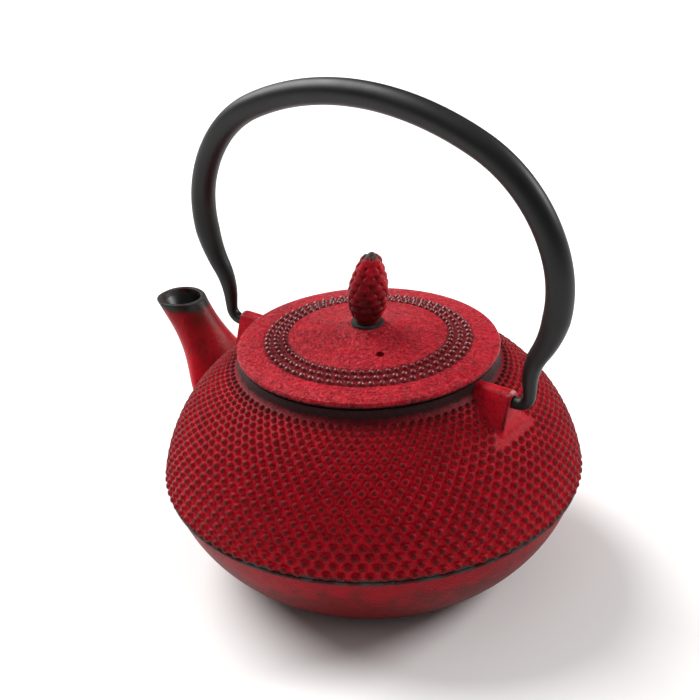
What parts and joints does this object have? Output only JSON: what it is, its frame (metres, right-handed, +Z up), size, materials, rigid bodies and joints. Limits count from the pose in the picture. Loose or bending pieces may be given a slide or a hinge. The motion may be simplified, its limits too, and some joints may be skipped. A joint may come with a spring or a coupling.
{
  "type": "cast iron teapot",
  "caption": "Round cast iron teapot with a hobnail shell, short spout, arched bail handle that swings on two ears, and a lift-off lid over a lift-out strainer basket.",
  "frame": {"origin": "centre of the flat base, on the pot's own vertical axis", "axes": "+Z up; the spout points along -X; the bail swings about a line along X through both ears, and stands upright in the XZ plane at rest"},
  "size_m": [0.1963, 0.1626, 0.1898],
  "materials": {
    "pot_iron": "red lacquer rubbed through to black at the tips, seam and spout; black enamel inside",
    "lid_iron": "red lacquer over a wrinkled casting, black in three rings of nubs",
    "knob_iron": "dark red lacquer, black at the tip and foot",
    "seat_rubber": "matte black",
    "fastener_steel": "plain zinc",
    "bail_steel": "satin black enamel",
    "infuser_steel": "drawn stainless steel",
    "infuser_mesh": "woven stainless wire"
  },
  "bodies": {
    "pot": {"pot_body": "pot_iron"},
    "infuser": {"infuser_collar": "infuser_steel", "infuser_mesh_wall": "infuser_mesh", "infuser_mesh_floor": "infuser_mesh", "infuser_base_ring": "infuser_steel"},
    "lid": {"lid": "lid_iron", "lid_knob": "knob_iron", "knob_seat_washer": "seat_rubber", "knob_inner_washer": "fastener_steel", "knob_screw": "fastener_steel"},
    "bail": {"bail_handle": "bail_steel"}
  },
  "joints": [
    {"name": "infuser_lift", "type": "slide", "parent": "pot", "child": "infuser", "axis": [0, 0, 1], "range_m": [0, 0.05]},
    {"name": "lid_lift", "type": "slide", "parent": "infuser", "child": "lid", "axis": [0, 0, 1], "range_m": [0, 0.05]},
    {"name": "bail_swing", "type": "hinge", "parent": "pot", "child": "bail", "pos_m": [0, 0, 0.0824], "axis": [1, 0, 0], "range_deg": [-125, 125]}
  ]
}
